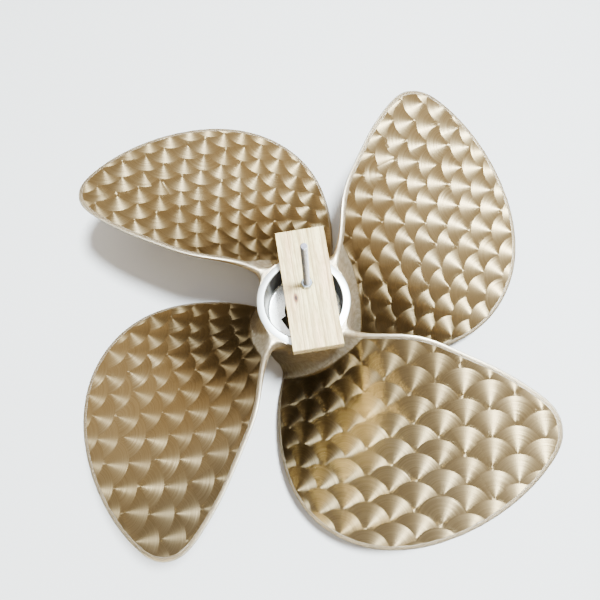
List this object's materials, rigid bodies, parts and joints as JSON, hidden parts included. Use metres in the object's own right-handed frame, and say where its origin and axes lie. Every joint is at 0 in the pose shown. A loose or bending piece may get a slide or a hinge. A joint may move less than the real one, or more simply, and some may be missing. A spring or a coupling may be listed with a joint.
{
  "type": "ship propeller",
  "caption": "Right-handed bronze ship propeller with wide skewed blades, recessed hub, keyed taper bore and a wooden clamp bar.",
  "frame": {"origin": "centre of the hub's forward face, on the shaft axis", "axes": "+Z along the shaft axis towards aft, up as it lies in the picture; +X through the first blade's tip; +Y completes the right-handed frame, through the next blade's tip"},
  "size_m": [0.711, 0.711, 0.3293],
  "materials": {
    "cast_bronze": "ground in overlapping discs, satin at hub and edges",
    "pale_softwood": "planed, bare",
    "zinc_plated_steel": "bright zinc plating"
  },
  "bodies": {
    "propeller": {"propeller_casting": "cast_bronze"},
    "clamp": {"clamp_bar": "pale_softwood", "threaded_rod": "zinc_plated_steel", "hex_nut": "zinc_plated_steel"}
  },
  "joints": [
    {"name": "clamp_lift", "type": "slide", "parent": "propeller", "child": "clamp", "axis": [0, 0, 1], "range_m": [0, 0.2]}
  ]
}
